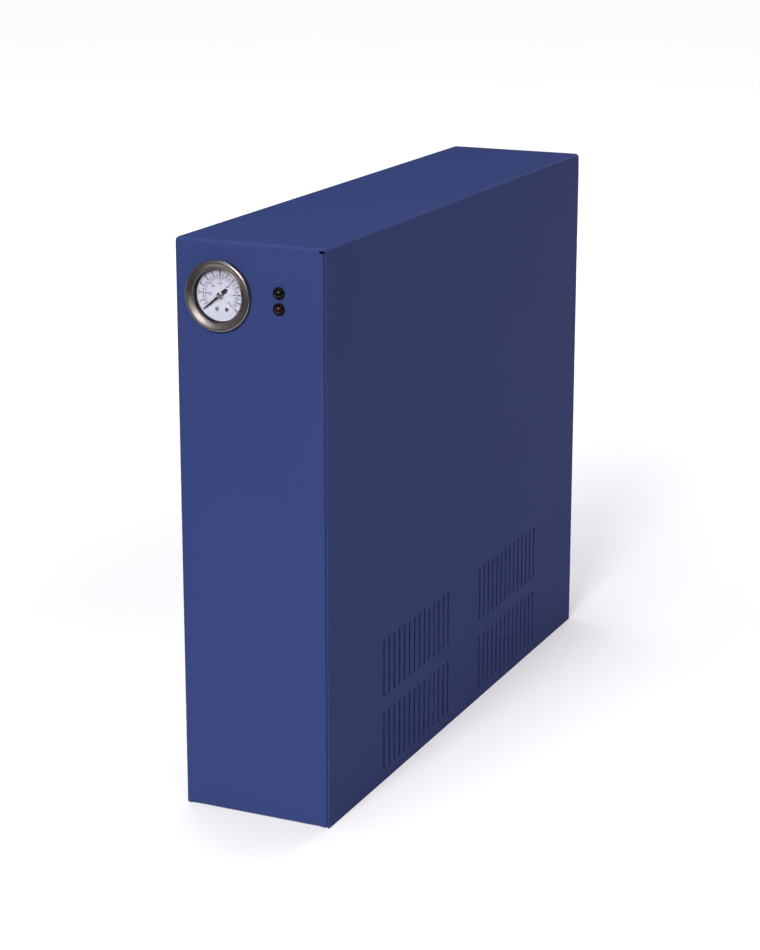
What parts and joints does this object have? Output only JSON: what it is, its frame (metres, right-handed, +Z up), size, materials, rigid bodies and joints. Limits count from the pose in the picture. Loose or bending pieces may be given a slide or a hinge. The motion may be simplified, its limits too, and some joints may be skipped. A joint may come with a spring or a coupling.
{
  "type": "refrigerated air dryer",
  "caption": "Slim upright refrigerated dryer for compressed air: folded blue sheet cabinet with a front pressure gauge, pilot lamps, side vents and rear air ports.",
  "frame": {"origin": "on the floor, under the middle of the cabinet", "axes": "+Z up; the front with the gauge faces -Y; +X across the cabinet, towards the side seen in the picture"},
  "size_m": [0.15, 0.6674, 0.54],
  "materials": {
    "powder_coat": "fine-textured blue powder coat",
    "galvanised_steel": "galvanised, spangled",
    "zinc_plate": "bright zinc plate",
    "cast_aluminium": "brazed and cast, matt",
    "fin_aluminium": "mill finish sheet",
    "foam": "expanded polystyrene beads",
    "brass": "turned",
    "copper": "drawn copper tube",
    "bowl_plastic": "clear moulded",
    "float_plastic": "moulded",
    "black_enamel": "semi-gloss black",
    "black_plastic": "moulded, fine grain",
    "rubber": "moulded",
    "bright_steel": "ground",
    "polished_steel": "polished",
    "window_glass": "clear, flat",
    "dial_enamel": "white, printed",
    "pointer_black": "matt black",
    "green_lens": "tinted, unlit",
    "red_lens": "tinted, unlit",
    "grey_plastic": "moulded"
  },
  "bodies": {
    "cabinet": {"hood": "powder_coat", "base_pan": "galvanised_steel", "rear_panel": "powder_coat", "panel_screws": "zinc_plate", "exchanger_bridge": "galvanised_steel", "exchanger_core": "cast_aluminium", "insulation_left": "foam", "insulation_right": "foam", "inlet_port": "brass", "outlet_port": "brass", "locknuts": "brass", "separator_head": "cast_aluminium", "separator_bowl": "bowl_plastic", "drain_valve": "brass", "drain_hose": "bowl_plastic", "drain_spigot": "brass", "compressor_shell": "black_enamel", "compressor_terminal_cover": "black_plastic", "compressor_base": "black_enamel", "compressor_studs": "zinc_plate", "compressor_grommets": "rubber", "compressor_nuts": "zinc_plate", "condenser_fins": "fin_aluminium", "condenser_tubes": "copper", "condenser_end_plates": "galvanised_steel", "fan_shroud": "black_enamel", "fan_motor": "black_enamel", "fan_bracket": "galvanised_steel", "line_tees": "brass", "discharge_line": "copper", "suction_line": "copper", "hot_gas_valve": "brass", "hot_gas_line": "copper", "pressure_switch": "zinc_plate", "filter_drier": "copper", "liquid_line": "copper", "capillary_tube": "copper", "gauge_case": "polished_steel", "gauge_bezel": "polished_steel", "gauge_window": "window_glass", "gauge_dial": "dial_enamel", "gauge_movement": "brass", "bourdon_tube": "brass", "gauge_socket": "brass", "gauge_clamp": "zinc_plate", "gauge_tube": "black_plastic", "power_lamp_bezel": "black_plastic", "power_lamp_lens": "green_lens", "alarm_lamp_bezel": "black_plastic", "alarm_lamp_lens": "red_lens", "control_box": "grey_plastic", "control_box_lid": "grey_plastic", "terminal_block": "float_plastic", "switch_housing": "black_plastic", "cable_gland": "black_plastic"},
    "gauge_needle": {"gauge_pointer": "pointer_black"},
    "fan_rotor": {"fan_wheel": "fin_aluminium", "fan_shaft": "bright_steel"},
    "rocker": {"switch_rocker": "black_plastic"},
    "float": {"drain_float": "float_plastic"}
  },
  "joints": [
    {"name": "gauge_needle_turn", "type": "hinge", "parent": "cabinet", "child": "gauge_needle", "pos_m": [-0.03, -0.3174, 0.4905], "axis": [0, 1, 0], "range_deg": [0, 260], "stiffness_Nm_per_rad": 0.0005},
    {"name": "fan_spin", "type": "hinge", "parent": "cabinet", "child": "fan_rotor", "pos_m": [0.011, -0.124, 0.081], "axis": [1, 0, 0], "continuous": true},
    {"name": "rocker_press", "type": "hinge", "parent": "cabinet", "child": "rocker", "pos_m": [-0.042, 0.3166, 0.12], "axis": [-1, 0, 0], "range_deg": [0, 20]},
    {"name": "float_rise", "type": "slide", "parent": "cabinet", "child": "float", "axis": [0, 0, 1], "range_m": [0, 0.012]}
  ]
}
